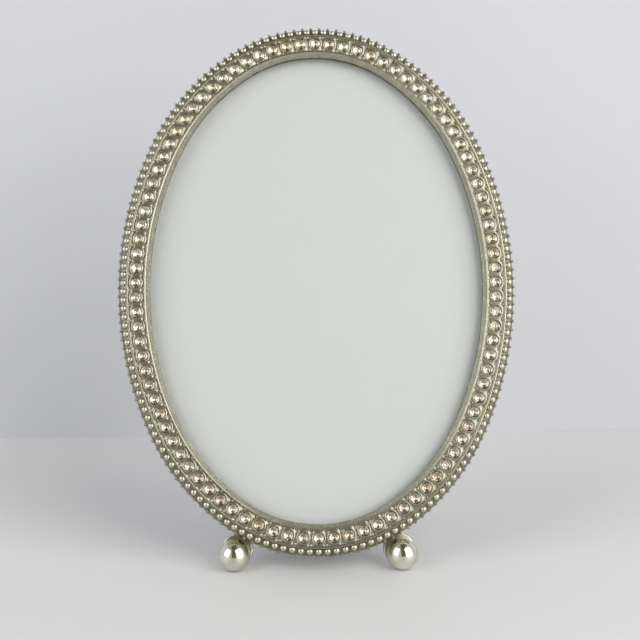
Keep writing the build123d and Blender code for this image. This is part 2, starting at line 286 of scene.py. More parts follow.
# Node trees
class Nodes:
    # Adds nodes to a tree, with their inputs by name or number
    def __init__(self, tree):
        self.tree = tree

    def add(self, kind, values=None, **settings):
        node = self.tree.nodes.new(kind)
        for key, value in settings.items():
            setattr(node, key, value)
        for key, value in (values or {}).items():
            self.join(value, node.inputs[key])
        return node

    def join(self, value, socket):
        if isinstance(value, bpy.types.NodeSocket):
            self.tree.links.new(value, socket)
        else:
            socket.default_value = value

    def math(self, operation, *values):
        return self.add("ShaderNodeMath", dict(enumerate(values)), operation=operation).outputs[0]

    def vector(self, operation, *values):
        sockets = dict(enumerate(values))
        if operation == "SCALE":
            sockets["Scale"] = sockets.pop(1)
        return self.add("ShaderNodeVectorMath", sockets, operation=operation).outputs[0]

    def spread(self, value, start, end, low=0.0, high=1.0, **settings):
        # Carries a value over from one range to another
        sockets = {
            "Value": value, "From Min": start, "From Max": end, "To Min": low, "To Max": high,
        }
        return self.add("ShaderNodeMapRange", sockets, **settings).outputs["Result"]

    def mix(self, share, first, last):
        return self.add("ShaderNodeMix", {0: share, 6: first, 7: last}, data_type="RGBA").outputs[2]

    def place(self):
        return self.add("ShaderNodeTexCoord").outputs["Object"]

    def noise(self, scale, vector=None, **values):
        sockets = {"Vector": vector or self.place(), "Scale": scale, **values}
        return self.add("ShaderNodeTexNoise", sockets).outputs["Fac"]

    def stored(self, geometry, name, value, kind, domain):
        sockets = {"Geometry": geometry, "Name": name, "Value": value}
        node = self.add("GeometryNodeStoreNamedAttribute", sockets, data_type=kind, domain=domain)
        return node.outputs[0]

    def named(self, name, kind):
        node = self.add("GeometryNodeInputNamedAttribute", {"Name": name}, data_type=kind)
        return node.outputs[0]


class Tree(Nodes):
    # A node group with named inputs and outputs
    def __init__(self, name, kind, inputs, outputs):
        super().__init__(bpy.data.node_groups.new(name, kind))
        for way, sockets in (("INPUT", inputs), ("OUTPUT", outputs)):
            for socketName, socketType in sockets.items():
                self.tree.interface.new_socket(
                    socketName, in_out=way, socket_type="NodeSocket" + socketType
                )
        self.start = self.tree.nodes.new("NodeGroupInput").outputs
        self.end = self.tree.nodes.new("NodeGroupOutput").inputs

    def piece(self):
        sockets = {"Object": self.start["Piece"]}
        node = self.add("GeometryNodeObjectInfo", sockets, transform_space="ORIGINAL")
        return node.outputs["Geometry"]

    def dressed(self, geometry):
        # Real geometry with its material ends every tree
        real = self.add("GeometryNodeRealizeInstances", {"Geometry": geometry}).outputs[0]
        sockets = {"Geometry": real, "Material": self.start["Material"]}
        self.join(self.add("GeometryNodeSetMaterial", sockets).outputs[0], self.end["Geometry"])
        return self.tree


def makeLaidRound():
    # Copies of a piece laid at equal spaces round a track and bent to follow it. The piece's
    # X runs along the track, its Y inwards and its Z out of the surface.
    inputs = {
        "Track": "Geometry", "Piece": "Object", "Count": "Int", "First Share": "Float",
        "Tilt": "Float", "Turn": "Float", "Wobble": "Float", "Seed": "Int", "Weld": "Float",
        "Material": "Material",
    }
    t = Tree("laidRound", "GeometryNodeTree", inputs, {"Geometry": "Geometry"})
    track = t.add("GeometryNodeMeshToCurve", {"Mesh": t.start["Track"]}).outputs["Curve"]
    length = t.add("GeometryNodeCurveLength", {"Curve": track}).outputs["Length"]
    points = t.add("GeometryNodePoints", {"Count": t.start["Count"]}).outputs[0]
    index = t.add("GeometryNodeInputIndex").outputs[0]
    numbered = t.stored(points, "number", index, "INT", "POINT")
    wobble = t.start["Wobble"]
    swing = t.add(
        "ShaderNodeCombineXYZ", {"X": wobble, "Y": wobble, "Z": t.start["Turn"]}
    ).outputs[0]
    spin = t.add(
        "FunctionNodeRandomValue",
        {"Max": swing, "Min": t.vector("SCALE", swing, -1.0), "Seed": t.start["Seed"]},
        data_type="FLOAT_VECTOR",
    ).outputs["Value"]
    copies = t.add(
        "GeometryNodeInstanceOnPoints",
        {"Points": numbered, "Instance": t.piece(), "Rotation": spin},
    ).outputs[0]
    chance = t.add("FunctionNodeRandomValue", {"Seed": t.start["Seed"]}, data_type="FLOAT")
    tinted = t.stored(copies, "tint", chance.outputs[1], "FLOAT", "INSTANCE")
    real = t.add("GeometryNodeRealizeInstances", {"Geometry": tinted}).outputs[0]
    local = t.add(
        "ShaderNodeSeparateXYZ", {"Vector": t.add("GeometryNodeInputPosition").outputs[0]}
    ).outputs
    started = t.math("ADD", t.named("number", "INT"), t.start["First Share"])
    even = t.math("DIVIDE", started, t.start["Count"])
    travel = t.math("DIVIDE", local["X"], length)
    share = t.math("WRAP", t.math("ADD", even, travel), 1.0, 0.0)
    sampled = {"Curves": track, "Factor": share}
    sample = t.add("GeometryNodeSampleCurve", sampled, mode="FACTOR").outputs
    outward = t.vector(
        "NORMALIZE", t.vector("CROSS_PRODUCT", sample["Tangent"], (0.0, 0.0, 1.0))
    )
    cosTilt = t.math("COSINE", t.start["Tilt"])
    sinTilt = t.math("SINE", t.start["Tilt"])
    across = t.math(
        "SUBTRACT", t.math("MULTIPLY", local["Z"], sinTilt), t.math("MULTIPLY", local["Y"], cosTilt)
    )
    forward = t.math(
        "ADD", t.math("MULTIPLY", local["Z"], cosTilt), t.math("MULTIPLY", local["Y"], sinTilt)
    )
    frontways = t.add("ShaderNodeCombineXYZ", {"Z": forward}).outputs[0]
    shift = t.vector("ADD", t.vector("SCALE", outward, across), frontways)
    target = t.vector("ADD", sample["Position"], shift)
    bent = t.add("GeometryNodeSetPosition", {"Geometry": real, "Position": target}).outputs[0]
    welded = t.add("GeometryNodeMergeByDistance", {"Geometry": bent, "Distance": t.start["Weld"]})
    return t.dressed(welded.outputs[0])


def makeSetOut():
    # Copies of a piece on points that say which way each one faces and turns
    inputs = {"Places": "Geometry", "Piece": "Object", "Material": "Material"}
    t = Tree("setOut", "GeometryNodeTree", inputs, {"Geometry": "Geometry"})
    ways = {
        "Primary Axis": t.named("facing", "FLOAT_VECTOR"),
        "Secondary Axis": t.named("turning", "FLOAT_VECTOR"),
    }
    turn = t.add("FunctionNodeAxesToRotation", ways, primary_axis="Z", secondary_axis="X")
    copies = t.add(
        "GeometryNodeInstanceOnPoints",
        {"Points": t.start["Places"], "Instance": t.piece(), "Rotation": turn.outputs[0]},
    )
    return t.dressed(copies.outputs[0])


laidRound = makeLaidRound()
setOut = makeSetOut()
print("node trees ready")


def runTree(tree, carrier, name, values):
    # Runs a tree on a carrier and keeps the result as a plain mesh
    modifier = carrier.modifiers.new(name, "NODES")
    modifier.node_group = tree
    for item in tree.interface.items_tree:
        if item.in_out == "INPUT" and item.name in values:
            modifier[item.identifier] = values[item.name]
    bpy.context.view_layer.update()
    evaluated = carrier.evaluated_get(bpy.context.evaluated_depsgraph_get())
    mesh = bpy.data.meshes.new_from_object(evaluated)
    mesh.name = name
    carrier.modifiers.remove(modifier)
    bpy.data.objects.remove(carrier)
    bpy.data.objects.remove(values["Piece"])
    return mesh


def layRound(name, cell, offset, depth, material, settings):
    # The track lies outside the sight edge by the offset, behind the front by the depth
    track = ovalTrack(offset)
    ring = bpy.data.meshes.new("track")
    points = [Vector((x, y, -depth)) * mm for x, y in track + track[:1]]
    ring.from_pydata(points, [(step, step + 1) for step in range(len(track))], [])
    values = {
        "Piece": addObject("cell", cell),
        "Count": settings["count"],
        "First Share": float(settings.get("firstShare", 0)),
        "Tilt": radians(settings.get("tilt", 0)),
        "Turn": radians(settings.get("turn", 0)),
        "Wobble": radians(settings.get("wobble", 0)),
        "Seed": settings.get("seed", 1),
        "Weld": settings.get("weld", 0.001) * mm,
        "Material": material,
    }
    mesh = runTree(laidRound, addObject("track", ring), name, values)
    mesh.transform(frontPlane)
    return addObject(name, mesh)


def placeCopies(name, cell, places, material):
    # Each place is a point, the way that it faces and the way that it turns
    carrier = bpy.data.meshes.new("places")
    carrier.from_pydata([place[0] for place in places], [], [])
    for index, key in ((1, "facing"), (2, "turning")):
        layer = carrier.attributes.new(key, "FLOAT_VECTOR", "POINT")
        for number, place in enumerate(places):
            layer.data[number].vector = place[index]
    values = {"Piece": addObject("cell", cell), "Material": material}
    return addObject(name, runTree(setOut, addObject("places", carrier), name, values))


# Finishes
wearOutputs = {"Color": "Color", "Roughness": "Float", "Height": "Float"}


def makeSilverWear():
    # Plated metal: cloudy tarnish, painted shade with tarnish in the recesses, brighter worn places
    # and fine scratches
    inputs = {
        "Bright": "Color", "Dull": "Color", "Cloud Size": "Float", "Tarnish And Shade": "Float",
        "Smoothness": "Float", "Scratch": "Float",
    }
    t = Tree("silverWear", "ShaderNodeTree", inputs, wearOutputs)
    clouds = t.noise(t.start["Cloud Size"], Detail=5.0, Roughness=0.6)
    grain = t.noise(2600.0, Detail=3.0)
    cloudy = t.spread(clouds, 0.42, 0.72, high=0.3)
    # The colour darkens with the cloudy tarnish and with the painted shade in recesses
    dull = t.math("MINIMUM", t.math("ADD", cloudy, t.start["Tarnish And Shade"]), 1.0)
    rough = t.math("ADD", t.start["Smoothness"], t.math("MULTIPLY", dull, 0.16))
    t.join(t.mix(dull, t.start["Bright"], t.start["Dull"]), t.end["Color"])
    t.join(t.math("ADD", rough, t.math("MULTIPLY", grain, 0.05)), t.end["Roughness"])
    t.join(t.math("MULTIPLY", grain, t.start["Scratch"]), t.end["Height"])
    return t.tree


def makeNap():
    # Short pile: brushed patches and single fibres
    inputs = {"Dark": "Color", "Light": "Color", "Patch Scale": "Float", "Fibre Scale": "Float"}
    t = Tree("velvetNap", "ShaderNodeTree", inputs, wearOutputs)
    patches = t.noise(t.start["Patch Scale"], Detail=4.0, Distortion=0.8)
    fibres = t.noise(t.start["Fibre Scale"], Detail=6.0, Roughness=0.75)
    lay = t.spread(patches, 0.35, 0.65)
    mixed = t.math("ADD", t.math("MULTIPLY", lay, 0.65), t.math("MULTIPLY", fibres, 0.35))
    t.join(t.mix(mixed, t.start["Dark"], t.start["Light"]), t.end["Color"])
    t.join(t.math("ADD", 0.82, t.math("MULTIPLY", fibres, 0.15)), t.end["Roughness"])
    t.join(t.math("ADD", fibres, t.math("MULTIPLY", patches, 0.6)), t.end["Height"])
    return t.tree


silverWear = makeSilverWear()
velvetNap = makeNap()


class Finish(Nodes):
    # A material with its shader at hand
    def __init__(self, name, **values):
        self.material = bpy.data.materials.new(name)
        self.material.use_nodes = True
        super().__init__(self.material.node_tree)
        self.shader = self.tree.nodes["Principled BSDF"]
        for key, value in values.items():
            self.shader.inputs[key.replace("_", " ")].default_value = value

    def attribute(self, name):
        return self.add("ShaderNodeAttribute", attribute_name=name).outputs["Fac"]

    def feed(self, socket, name):
        self.join(socket, self.shader.inputs[name])

    def tone(self, share, first, last, start=0.0, end=1.0):
        # The base colour runs from the first colour to the last
        ramp = self.add("ShaderNodeValToRGB", {"Fac": share})
        low, high = ramp.color_ramp.elements
        low.position, low.color = start, first
        high.position, high.color = end, last
        self.feed(ramp.outputs["Color"], "Base Color")

    def bump(self, height, strength, distance):
        sockets = {"Height": height, "Strength": strength, "Distance": distance}
        self.feed(self.add("ShaderNodeBump", sockets).outputs[0], "Normal")

    # The silver group's colour carries painted shade in recesses; the velvet group's is nap
    def wearAndShade(self, group, values, strength, distance):
        effect = self.add("ShaderNodeGroup", node_tree=group)
        for key, value in values.items():
            self.join(value, effect.inputs[key])
        self.feed(effect.outputs["Color"], "Base Color")
        self.feed(effect.outputs["Roughness"], "Roughness")
        self.bump(effect.outputs["Height"], strength, distance)

    def passThrough(self, share, colour=(1, 1, 1, 1)):
        # Where the share is 1, rays go straight through
        clear = self.add("ShaderNodeBsdfTransparent", {"Color": colour}).outputs[0]
        mix = self.add("ShaderNodeMixShader", {0: share, 1: self.shader.outputs[0], 2: clear})
        self.join(mix.outputs[0], self.tree.nodes["Material Output"].inputs["Surface"])


# bright and dull colour, cloud size, smoothness, share of tarnish and painted shade, and scratch of
# each plated surface
silver = {
    "rimSilver": ((0.46, 0.445, 0.35, 1), (0.13, 0.12, 0.07, 1), 260.0, 0.24, 0.75, 0.2),
    "beadSilver": ((0.58, 0.565, 0.46, 1), (0.10, 0.095, 0.05, 1), 420.0, 0.27, 0.7, 0.1),
    # The knobs' silver is the beads' silver with a darker bright colour: painted shade
    "knobSilver": ((0.36, 0.35, 0.27, 1), (0.10, 0.095, 0.05, 1), 420.0, 0.27, 0.7, 0.1),
    "ballSilver": ((0.80, 0.77, 0.66, 1), (0.13, 0.12, 0.07, 1), 90.0, 0.1, 0.0, 0.05),
}


def silverFinish(name):
    bright, dull, clouds, smoothness, tarnishAndShadeShare, scratch = silver[name]
    f = Finish(name, Metallic=1.0)
    values = {
        "Bright": bright,
        "Dull": dull,
        "Cloud Size": clouds,
        "Tarnish And Shade": f.math("MULTIPLY", f.attribute("tarnishAndShade"), tarnishAndShadeShare),
        "Smoothness": smoothness,
        "Scratch": scratch,
    }
    f.wearAndShade(silverWear, values, strength=0.25, distance=0.00004)
    return f.material


def crystalFinish():
    f = Finish("stoneCrystal", Transmission_Weight=1.0, IOR=1.45, Roughness=0.0)
    f.tone(f.attribute("tint"), (0.95, 0.91, 0.84, 1), (1.0, 1.0, 0.98, 1))
    return f.material


def foilFinish():
    # The foil is paler at the top of the frame and browner towards its foot
    f = Finish("stoneFoil", Metallic=1.0, Roughness=0.24)
    height = f.add("ShaderNodeSeparateXYZ", {"Vector": f.place()}).outputs["Z"]
    low = f.spread(height, 0.03, 0.10, high=0.6)
    varied = f.math("MULTIPLY_ADD", f.attribute("tint"), 0.4, low)
    f.tone(varied, (0.48, 0.42, 0.35, 1), (0.60, 0.585, 0.50, 1))
    return f.material


def glassFinish():
    # Lamp light passes straight through to the photograph behind
    f = Finish("paneGlass", Transmission_Weight=1.0, IOR=1.46, Roughness=0.0)
    f.tone(f.noise(18.0, Detail=3.0), (0.965, 0.985, 0.972, 1), (0.975, 0.99, 0.982, 1))
    rays = f.add("ShaderNodeLightPath").outputs
    passing = f.math("MAXIMUM", rays["Is Shadow Ray"], rays["Is Diffuse Ray"])
    f.passThrough(passing, (0.97, 0.985, 0.975, 1))
    return f.material


def paperFinish():
    f = Finish("photoPaper", Roughness=0.45)
    fibre = f.noise(900.0, Detail=5.0)
    f.tone(fibre, (0.595, 0.590, 0.580, 1), (0.625, 0.620, 0.610, 1))
    f.bump(fibre, strength=0.05, distance=0.00002)
    return f.material


def boardFinish():
    f = Finish("hardboard", Roughness=0.75)
    fibre = f.noise(700.0, Detail=8.0, Distortion=2.0)
    f.tone(fibre, (0.16, 0.10, 0.06, 1), (0.30, 0.20, 0.12, 1))
    f.bump(fibre, strength=0.3, distance=0.0001)
    return f.material


def velvetFinish():
    f = Finish(
        "blackVelvet", Sheen_Weight=0.6, Sheen_Roughness=0.4, Sheen_Tint=(0.62, 0.63, 0.68, 1),
        Specular_IOR_Level=0.2,
    )
    values = {
        "Dark": (0.010, 0.010, 0.012, 1),
        "Light": (0.040, 0.040, 0.046, 1),
        "Patch Scale": 55.0,
        "Fibre Scale": 2400.0,
    }
    f.wearAndShade(velvetNap, values, strength=0.7, distance=0.0002)
    return f.material


# dark and bright colour, roughness and how far the grain is squeezed along each axis
steel = (0.42, 0.41, 0.40, 1), (0.62, 0.61, 0.59, 1)
brushed = {
    "hingeSteel": (*steel, 0.3, (120.0, 2500.0, 2500.0)),
    "buttonSteel": (*steel, 0.28, (2500.0, 300.0, 2500.0)),
    "screwSteel": (*steel, 0.24, (1800.0, 1800.0, 1800.0)),
    "rivetBrass": ((0.55, 0.40, 0.18, 1), (0.78, 0.60, 0.30, 1), 0.25, (1500.0, 1500.0, 1500.0)),
}


def brushedFinish(name):
    # Rolled or turned metal, with its grain drawn out along one axis
    dark, bright, roughness, squeeze = brushed[name]
    f = Finish(name, Metallic=1.0)
    drawn = f.add("ShaderNodeMapping", {"Vector": f.place(), "Scale": squeeze}).outputs[0]
    grain = f.noise(1.0, drawn, Detail=4.0)
    f.tone(grain, dark, bright, start=0.3, end=0.7)
    f.feed(f.spread(grain, 0.0, 1.0, roughness, roughness + 0.15), "Roughness")
    f.bump(grain, strength=0.2, distance=0.00004)
    return f.material


rimSilver, beadSilver, knobSilver, ballSilver = [silverFinish(name) for name in silver]
stoneCrystal = crystalFinish()
stoneFoil = foilFinish()
paneGlass = glassFinish()
photoPaper = paperFinish()
hardboard = boardFinish()
blackVelvet = velvetFinish()
hingeSteel, buttonSteel, screwSteel, rivetBrass = [brushedFinish(name) for name in brushed]
print("materials ready")

# The cast rim, from the sight edge outwards, in offsets and depths with their roundings
casting = {
    "count": 720,  # slices round the oval
    "weld": 0.01,
    "sightWall": 0.05,  # tarnish and painted shade gather nearer to the sight edge than this
    "underBeads": (8.35, 10.9),  # and between these offsets
    "profile": [
        (0, 3.4, 0),
        (0, 1.95, 0.25),
        (1.25, 0.3, 0.12),
        (1.45, 0.1, 0.16),
        (1.85, 0.1, 0.18),
        (1.93, 0.4, 0.1),
        (1.95, 2.3, 0),
        (7.55, 2.3, 0),
        (7.62, 0.0, 0.2),
        (8.32, 0.0, 0.2),
        (8.4, 0.45, 0.08),
        (10.39, 1.36, 0.3),
        (11.24, 2.82, 0.3),
        (11.24, 8.6, 0.3),
        (10.54, 9.3, 0.2),
        (3.8, 9.3, 0.1),
        (3.8, 3.4, 0),
    ],
}


def makeCastRim():
    profile = roundedLine(casting["profile"])
    half = trackLength(0) / casting["count"] / 2
    points = [(x, -offset, -depth) for x in (-half, half) for offset, depth in profile]
    count = len(profile)
    faces = []
    for index in range(count):
        following = (index + 1) % count
        faces.append((index, following, count + following, count + index))
    inner, outer = casting["underBeads"]
    offsets = [offset for offset, depth in profile] * 2
    # Tarnish and painted shade on the sight wall and on the shoulder under the beads
    cell = markTarnishAndShade(
        plainMesh("slice", points, faces),
        [float(at < casting["sightWall"] or inner < at < outer) for at in offsets],
    )
    rim = layRound("castRim", cell, 0, 0, rimSilver, casting)
    work = openMesh(rim.data)
    bmesh.ops.recalc_face_normals(work, faces=work.faces)
    smoothBelow(work, shaping["rimSmoothBelow"])
    closeMesh(work, rim.data)
    return rim


castRim = makeCastRim()
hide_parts("cast_frame")
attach(castRim, "frame")
print("rim ready", len(castRim.data.polygons))

# Web between the rails, with a round seat for each stone and a pit in each corner
seats = {
    "count": 92,
    "offset": 4.75,
    "depth": 0.24,
    "halfWidth": 2.84,
    "sides": 48,
    "weld": 0.02,
    "edgeWithin": 0.01,
    # radius, height and share of tarnish and painted shade of the bezel's rings
    "bezel": [
        (2.0, -1.3, 1.0), (2.0, -0.04, 1.0), (2.05, 0.08, 0.3), (2.14, 0.14, 0.0),
        (2.26, 0.12, 0.05), (2.36, 0.02, 0.45), (2.4, 0.0, 0.5),
    ],
    "levels": [0.25, 0.5, 0.75, 1.0],
    "pitInset": 0.45,
    "pitRadius": 0.8,
    "webTarnishAndShade": 0.5,
    "pitDrop": 0.5,
}


def makeSeats():
    sides = seats["sides"]
    half = trackLength(seats["offset"]) / seats["count"] / 2
    wide = seats["halfWidth"]
    angles = [2 * pi * (side + 0.5) / sides for side in range(sides)]
    points = []
    tarnishAndShadeShares = []
    for radius, height, ringTarnishAndShade in seats["bezel"]:
        for angle in angles:
            points.append((radius * cos(angle), radius * sin(angle), height))
            tarnishAndShadeShares.append(ringTarnishAndShade)
    start = seats["bezel"][-1][0]
    for level in seats["levels"]:
        for angle in angles:
            reach = min(half / abs(cos(angle)), wide / abs(sin(angle)))
            distance = start + (reach - start) * level
            x, y = distance * cos(angle), distance * sin(angle)
            away = hypot(abs(x) - half, abs(y) - wide + seats["pitInset"])
            pit = max(0.0, min(1.0, 2 - 2 * away / seats["pitRadius"]))
            if level == 1.0 and abs(abs(y) - wide) < seats["edgeWithin"]:
                pit = 0.0
            points.append((x, y, -seats["pitDrop"] * pit))
            # Tarnish and painted shade: full in the corner pits, the web's share elsewhere
            tarnishAndShadeShares.append(max(pit, seats["webTarnishAndShade"]))
    rings = len(seats["bezel"]) + len(seats["levels"])
    faces = [tuple(range(sides))]
    for ring in range(rings - 1):
        for side in range(sides):
            following = (side + 1) % sides
            low, high = ring * sides, (ring + 1) * sides
            faces.append((low + side, high + side, high + following, low + following))
    return markTarnishAndShade(plainMesh("seat", points, faces), tarnishAndShadeShares)


webs = layRound("stoneSeats", makeSeats(), seats["offset"], seats["depth"], rimSilver, seats)
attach(webs, "frame")

# Small raised grains in the corners between the stones
grains = {
    "count": 92,
    "firstShare": 0.5,
    "height": 0.42,
    "foot": 0.2,
    "steps": 4,
    "sides": 10,
    "depth": 0.42,
    "rows": [("grainsInner", 2.28, 0.26), ("grainsOuter", 7.15, 0.42)],  # name, offset, radius
}
for name, offset, radius in grains["rows"]:
    dome = domeOutline(radius, grains["height"], grains["foot"], grains["steps"])
    cell = turned("grain", dome, grains["sides"])
    row = layRound(name, cell, offset, grains["depth"], beadSilver, grains)
    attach(row, "frame")
print("seats ready")

# Stones: a cut crown of clear glass over a faceted foil cup
stones = {
    "count": 92,
    "offset": 4.75,
    "facets": 8,
    "girdleDepth": 0.32,
    "girdleRadius": 1.96,
    "girdleHeight": 0.08,
    "tableRadius": 1.0,
    "starRadius": 1.5,
    "starHeight": 0.3,
    "crownHeight": 0.44,
    "lipTurn": 0.25,
    # radius, drop and turn share of the foil cup's facet corners
    "facetRings": [(1.5, 0.3, 0.25), (1.05, 0.42, 0.75), (0.55, 0.72, 0.25), (0.12, 0.86, 0.75)],
    "foilGap": 0.03,
    "foilWall": 0.08,
    "turn": 180,
    "wobble": 7.0,
    "seed": 7,
}


def ringOf(radius, height, count, turn):
    angles = [2 * pi * (number + turn) / count for number in range(count)]
    return [(radius * cos(angle), radius * sin(angle), height) for angle in angles]


def makeStone():
    facets, twice = stones["facets"], 2 * stones["facets"]
    girdle = stones["girdleRadius"]
    points = ringOf(stones["tableRadius"], stones["crownHeight"], facets, 0)
    points += ringOf(stones["starRadius"], stones["starHeight"], facets, 0.5)
    points += ringOf(girdle, 0, twice, 0)
    points += ringOf(girdle, -stones["girdleHeight"], twice, 0)
    faces = [tuple(range(facets)), tuple(range(3 * twice - 1, 2 * twice - 1, -1))]
    for k in range(facets):
        star, left, right = facets + k, twice + 2 * k, twice + (2 * k + 2) % twice
        faces.append((k, star, (k + 1) % facets))
        faces.append((k, facets + (k - 1) % facets, left, star))
        faces.append((star, left, left + 1))
        faces.append((star, left + 1, right))
    for k in range(twice):
        following = (k + 1) % twice
        faces.append((twice + k, 2 * twice + k, 2 * twice + following, twice + following))
    return meshFrom("stone", points, faces, smooth=False)


def makeFoil():
    # A thin cup whose inner facets are those of a stone's pavilion
    facets = stones["facets"]
    wall = stones["foilWall"]
    lip = -stones["girdleHeight"] - stones["foilGap"]
    cup = [(stones["girdleRadius"], 0, stones["lipTurn"])] + stones["facetRings"]
    rings = [ringOf(radius, lip - drop, facets, turn) for radius, drop, turn in cup]
    tip, depth = cup[-1][:2]
    rings.append(ringOf(stones["girdleRadius"] + wall, lip, facets, stones["lipTurn"]))
    rings.append(ringOf(tip + wall, lip - depth - wall, facets, stones["lipTurn"]))
    points = [point for ring in rings for point in ring]
    last = facets * len(cup)
    faces = [
        tuple(range(last - facets, last)),
        tuple(range(last + 2 * facets - 1, last + facets - 1, -1)),
    ]
    for ring in range(len(cup) - 1):
        high, low = facets * ring, facets * (ring + 1)
        for k in range(facets):
            n = (k + 1) % facets
            if cup[ring + 1][2] == cup[ring][2]:
                faces.append((high + k, high + n, low + n, low + k))
            elif cup[ring + 1][2] > cup[ring][2]:
                faces.append((high + k, high + n, low + k))
                faces.append((high + n, low + n, low + k))
            else:
                faces.append((high + k, high + n, low + n))
                faces.append((high + k, low + n, low + k))
    for k in range(facets):
        n = (k + 1) % facets
        faces.append((k, n, last + n, last + k))
        faces.append((last + k, last + n, last + facets + n, last + facets + k))
    return meshFrom("foil", points, faces, smooth=False)


stonePlace = stones["offset"], stones["girdleDepth"]
crystals = layRound("crystalStones", makeStone(), *stonePlace, stoneCrystal, stones)
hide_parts("crystals")
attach(crystals, "frame")
foils = layRound("stoneFoils", makeFoil(), *stonePlace, stoneFoil, stones)
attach(foils, "frame")
print("stones ready")

# Two staggered rows of beads: domes in front and knobs on stems at the edge
beads = {
    "count": 168,
    "radius": 1.2,
    "height": 0.93,
    "foot": 0.3,
    "domeSteps": 6,
    "domeSides": 16,
    "knobSides": 14,
    "stretchShare": 0.95,
    "tarnishAndShadeHeight": 0.34,
    "knobHeight": 0.97,
    "knobShares": [
        (0.9, -0.3), (0.9, 0.0), (0.66, 0.14), (0.38, 0.25), (0.26, 0.33), (0.26, 0.41),
        (0.38, 0.5), (0.46, 0.6), (0.47, 0.72), (0.41, 0.86), (0.25, 0.96), (0.04, 1.0),
    ],
    # offset, depth, tilt and first share
    "frontRow": (9.4, 0.9, 25, 0),
    "sideRow": (10.66, 2.0, 60, 0.5),
}


def frontBead():
    dome = domeOutline(beads["radius"], beads["height"], beads["foot"], beads["domeSteps"])
    return turned("frontBead", dome, beads["domeSides"], beads["stretchShare"])


def sideBead():
    outline = [(beads["radius"] * r, beads["knobHeight"] * h) for r, h in beads["knobShares"]]
    return turned("sideBead", outline, beads["knobSides"])


for name, cell, key, material, node in (
    ("beadsFront", frontBead(), "frontRow", beadSilver, "front_beads"),
    ("beadsSide", sideBead(), "sideRow", knobSilver, "side_beads"),
):
    offset, depth, tilt, firstShare = beads[key]
    settings = {"count": beads["count"], "tilt": tilt, "firstShare": firstShare}
    # Tarnish and painted shade, darker towards each bead's foot between the beads
    tarnishAndShadeBelow(cell, beads["tarnishAndShadeHeight"])
    row = layRound(name, cell, offset, depth, material, settings)
    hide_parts(node)
    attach(row, "frame")
print("beads ready")

# Ball feet and the lugs that carry them
feet = {
    "radius": 5.5,
    "flatDrop": 0.15,
    "flatCentre": 0.01,
    "sides": 64,
    "rings": 40,
    "topAngle": 89.5,
    "reach": 17.9,
    "lugRadius": 5.5,
    "lugSpread": 132,
    "lugSteps": 36,
    "lugInset": 2.2,
    "lugThickness": 3.2,
    "neckWidth": 8.0,
    "ringDepth": 9.3,
    "wallOffset": 9.2,
    "lugRounding": 0.5,
    "lugSharpFrom": 60,
}


def makeBall(name, mount):
    radius = feet["radius"]
    height = radius - feet["flatDrop"]
    start = -asin(height / radius)
    outline = [(feet["flatCentre"], 0)]
    for ring in range(feet["rings"] + 1):
        angle = start + (radians(feet["topAngle"]) - start) * ring / feet["rings"]
        outline.append((radius * cos(angle), height + radius * sin(angle)))
    mesh = turned(name, outline, feet["sides"])
    mesh.transform(Matrix.Translation(Vector(mount["pos_m"])))
    return addObject(name, mesh)


def makeLug(name, side):
    endY, endRadius = arcs[2][1], arcs[2][2]
    reach = endRadius + feet["reach"]
    ballX = abs(mounts["foot_left"]["pos_m"][0]) / mm
    swing = pi / 2 - acos(ballX / reach)
    away = Vector((side * sin(swing), -cos(swing)))
    across = Vector((-away.y, away.x))
    middle = Vector((0, -endY)) + away * (reach - feet["lugInset"])
    root = Vector((0, -endY)) + away * (endRadius + feet["wallOffset"])
    half = feet["neckWidth"] / 2
    outline = [root + across * half, root - across * half]
    spread = radians(feet["lugSpread"])
    for step in range(feet["lugSteps"] + 1):
        angle = -spread + 2 * spread * step / feet["lugSteps"]
        outline.append(middle + (away * cos(angle) + across * sin(angle)) * feet["lugRadius"])
    work = bmesh.new()
    points = [(point.x, point.y, -feet["ringDepth"]) for point in outline]
    raiseOutline(work, points, feet["lugThickness"])
    bmesh.ops.recalc_face_normals(work, faces=work.faces)
    limit = radians(feet["lugSharpFrom"])
    sharp = [edge for edge in work.edges if edge.calc_face_angle(0) > limit]
    roundEdges(work, sharp, feet["lugRounding"])
    for face in work.faces:
        face.smooth = True
    mesh = closeMesh(work, bpy.data.meshes.new(name))
    mesh.transform(frontPlane)
    return addObject(name, mesh)


for name, mountName in (("leftBall", "foot_left"), ("rightBall", "foot_right")):
    ball = makeBall(name, mounts[mountName])
    ball.data.materials.append(ballSilver)
    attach(ball, "frame")
for name, side in (("leftLug", -1), ("rightLug", 1)):
    lug = makeLug(name, side)
    lug.data.materials.append(rimSilver)
    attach(lug, "frame")
print("feet ready")

# Pieces of the back that are copied from the frame, with their edges softened:
# node, piece, body, finish, slot, rounding and its segments
softPieces = [
    ("hinge_base", "hingeBase", "frame", hingeSteel, "hinge_steel", 0.12, 3),
    ("hinge_leaf", "hingeLeaf", "leg", hingeSteel, "hinge_steel", 0.12, 3),
    ("hinge_pin", "hingePin", "frame", hingeSteel, "hinge_steel", 0.2, 3),
    ("leg_velvet", "legVelvet", "leg", blackVelvet, "velvet", 0.3, 4),
    ("back_velvet", "backVelvet", "frame", blackVelvet, "velvet", 0.2, 4),
]
softPieces += [
    (f"turn_button_{n}", f"turnButton{n}", f"button_{n}", buttonSteel, "button_steel", 0.16, 3)
    for n in range(1, 5)
]


